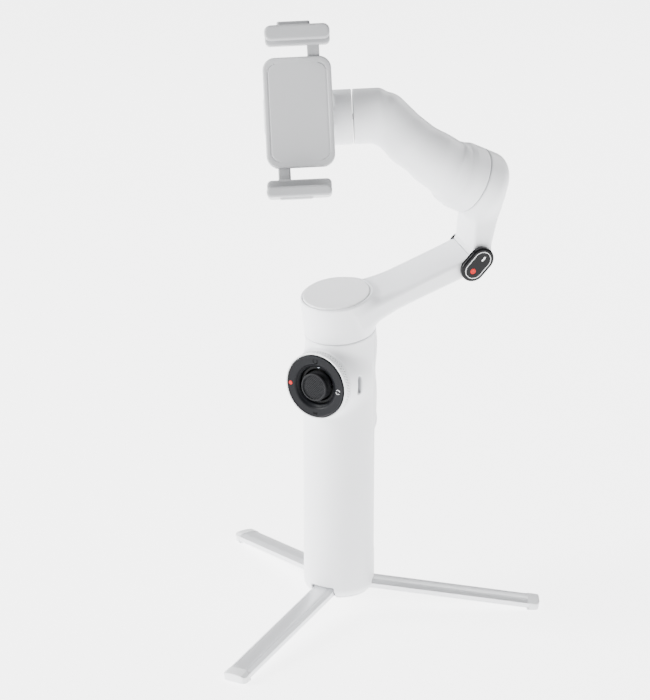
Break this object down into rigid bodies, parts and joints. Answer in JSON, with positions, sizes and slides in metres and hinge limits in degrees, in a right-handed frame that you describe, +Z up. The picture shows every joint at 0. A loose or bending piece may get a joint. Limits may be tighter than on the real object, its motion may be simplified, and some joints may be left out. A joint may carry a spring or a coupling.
{
  "type": "gimbal stabilizer",
  "caption": "Folding phone gimbal: round handle with a control panel and trigger, fold-out tripod legs, leaning pan motor, jointed arms, roll and tilt motors and a spring clamp.",
  "frame": {"origin": "mouth of the tripod socket, on the handle's axis at its lower end", "axes": "+Z up along the handle; -Y out of the control panel; +X towards the charging port's side"},
  "size_m": [0.1834, 0.1647, 0.3056],
  "materials": {
    "aluminium": "brushed along",
    "arm_white": "fine satin",
    "board_green": "solder mask",
    "brass": "turned",
    "cap_white": "satin",
    "cell_wrap": "shrink wrap",
    "chrome_trim": "bright",
    "clamp_grey": "satin",
    "cover_white": "satin",
    "dial_white": "satin",
    "foot_white": "satin",
    "gear_white": "moulded",
    "gloss_black": "gloss",
    "inner_black": "matt",
    "iron": "laminated core",
    "jaw_grey": "satin",
    "lamp": "clear",
    "magnet": "nickel plated",
    "mark_red": "satin",
    "mark_white": "satin",
    "pad_grey": "matt",
    "panel_black": "satin",
    "steel": "turned",
    "stick_black": "matt",
    "white_shell": "fine satin"
  },
  "bodies": {
    "handle": {"front_shell": "white_shell", "back_cover": "cover_white", "pan_motor_base": "inner_black", "pan_stator": "iron", "pan_bearings": "steel", "bottom_hub": "white_shell", "thread_insert": "brass", "hub_screws": "steel", "inner_chassis": "inner_black", "battery_cell": "cell_wrap", "usb_c_port": "steel", "panel_ring": "inner_black", "joystick_seat": "panel_black", "circuit_boards": "board_green", "status_light": "lamp", "hinge_pins": "steel", "trigger_spring": "steel"},
    "zoom_dial": {"zoom_dial": "dial_white"},
    "press_ring": {"press_ring": "panel_black", "press_ring_marks": "mark_white", "record_dot": "mark_red"},
    "joystick_cross": {"joystick_cross": "steel"},
    "joystick": {"joystick_stem": "stick_black", "joystick_cap": "stick_black"},
    "trigger": {"trigger": "cover_white"},
    "pan_rotor": {"pan_rotor_shell": "arm_white", "pan_top_cap": "cap_white", "pan_magnets": "magnet", "pan_shaft": "steel", "elbow_pin": "steel", "elbow_cheeks": "inner_black", "elbow_pill_cap": "gloss_black", "elbow_red_dot": "mark_red", "elbow_cap_marks": "mark_white", "elbow_far_plate": "chrome_trim"},
    "upper_arm": {"upper_arm_shell": "arm_white", "roll_stator": "iron", "roll_bearings": "steel"},
    "roll_rotor": {"roll_rotor_shell": "arm_white", "roll_magnets": "magnet", "roll_shaft": "steel", "tilt_stator": "iron", "tilt_bearings": "steel"},
    "tilt_rotor": {"tilt_rotor_shell": "arm_white", "tilt_magnets": "magnet", "tilt_shaft": "steel", "mount_magnets": "magnet", "clamp_body": "clamp_grey", "clamp_steel_plate": "steel"},
    "clamp_pinion": {"clamp_pinion": "gear_white"},
    "upper_jaw": {"upper_jaw": "jaw_grey", "upper_jaw_pad": "pad_grey"},
    "lower_jaw": {"lower_jaw": "jaw_grey", "lower_jaw_pad": "pad_grey"},
    "leg_front": {"leg_bar_front": "aluminium", "leg_foot_front": "foot_white"},
    "leg_right": {"leg_bar_right": "aluminium", "leg_foot_right": "foot_white"},
    "leg_left": {"leg_bar_left": "aluminium", "leg_foot_left": "foot_white"}
  },
  "joints": [
    {"name": "pan", "type": "hinge", "parent": "handle", "child": "pan_rotor", "pos_m": [0, 0, 0.1434], "axis": [0, -0.2079, 0.9781], "range_deg": [-102, 278]},
    {"name": "elbow_fold", "type": "hinge", "parent": "pan_rotor", "child": "upper_arm", "pos_m": [0.04697, 0.04664, 0.17489], "axis": [-0.7431, 0.6545, 0.1391], "range_deg": [0, 150]},
    {"name": "roll", "type": "hinge", "parent": "upper_arm", "child": "roll_rotor", "pos_m": [0.05139, 0.04368, 0.21239], "axis": [-0.5481, -0.7147, 0.4345], "range_deg": [-222, 63]},
    {"name": "tilt", "type": "hinge", "parent": "roll_rotor", "child": "tilt_rotor", "pos_m": [-0.0002, 0.01321, 0.24507], "axis": [0.8575, 0.5125, 0.0446], "range_deg": [-80, 188]},
    {"name": "zoom_turn", "type": "hinge", "parent": "handle", "child": "zoom_dial", "pos_m": [0, -0.0215, 0.117], "axis": [0, -1, 0], "continuous": true},
    {"name": "ring_press", "type": "slide", "parent": "handle", "child": "press_ring", "axis": [0, 1, 0], "range_m": [0, 0.00045], "stiffness_N_per_m": 1500, "springref_m": -0.0004},
    {"name": "stick_up_down", "type": "hinge", "parent": "handle", "child": "joystick_cross", "pos_m": [0, -0.017, 0.117], "axis": [1, 0, 0], "range_deg": [-12, 12], "stiffness_Nm_per_rad": 0.04},
    {"name": "stick_left_right", "type": "hinge", "parent": "joystick_cross", "child": "joystick", "pos_m": [0, -0.017, 0.117], "axis": [0, 0, 1], "range_deg": [-12, 12], "stiffness_Nm_per_rad": 0.04},
    {"name": "trigger_pull", "type": "hinge", "parent": "handle", "child": "trigger", "pos_m": [0, 0.0156, 0.1015], "axis": [-1, 0, 0], "range_deg": [0, 8], "stiffness_Nm_per_rad": 0.15, "springref_deg": -8.59, "deforming": ["trigger_spring"]},
    {"name": "upper_jaw_slide", "type": "slide", "parent": "tilt_rotor", "child": "upper_jaw", "axis": [-0.2009, 0.2538, 0.9462], "range_m": [-0.003, 0.0055]},
    {"name": "lower_jaw_slide", "type": "slide", "parent": "tilt_rotor", "child": "lower_jaw", "axis": [0.2009, -0.2538, -0.9462], "range_m": [-0.003, 0.0055]},
    {"name": "pinion_turn", "type": "hinge", "parent": "tilt_rotor", "child": "clamp_pinion", "pos_m": [-0.01436, -0.01455, 0.2511], "axis": [0.4736, -0.8203, 0.3206], "range_deg": [-38.4, 70.2]},
    {"name": "leg_front_fold", "type": "hinge", "parent": "handle", "child": "leg_front", "pos_m": [0, -0.0135, 0.0042], "axis": [1, 0, 0], "range_deg": [0, 82]},
    {"name": "leg_right_fold", "type": "hinge", "parent": "handle", "child": "leg_right", "pos_m": [0.01169, 0.00675, 0.0042], "axis": [-0.5, 0.866, 0], "range_deg": [0, 82]},
    {"name": "leg_left_fold", "type": "hinge", "parent": "handle", "child": "leg_left", "pos_m": [-0.01169, 0.00675, 0.0042], "axis": [-0.5, -0.866, 0], "range_deg": [0, 82]}
  ],
  "couplings": [
    {"joint": "lower_jaw_slide", "follows": "upper_jaw_slide", "ratio": 1},
    {"joint": "pinion_turn", "follows": "upper_jaw_slide", "rad_per_m": 222.22}
  ]
}
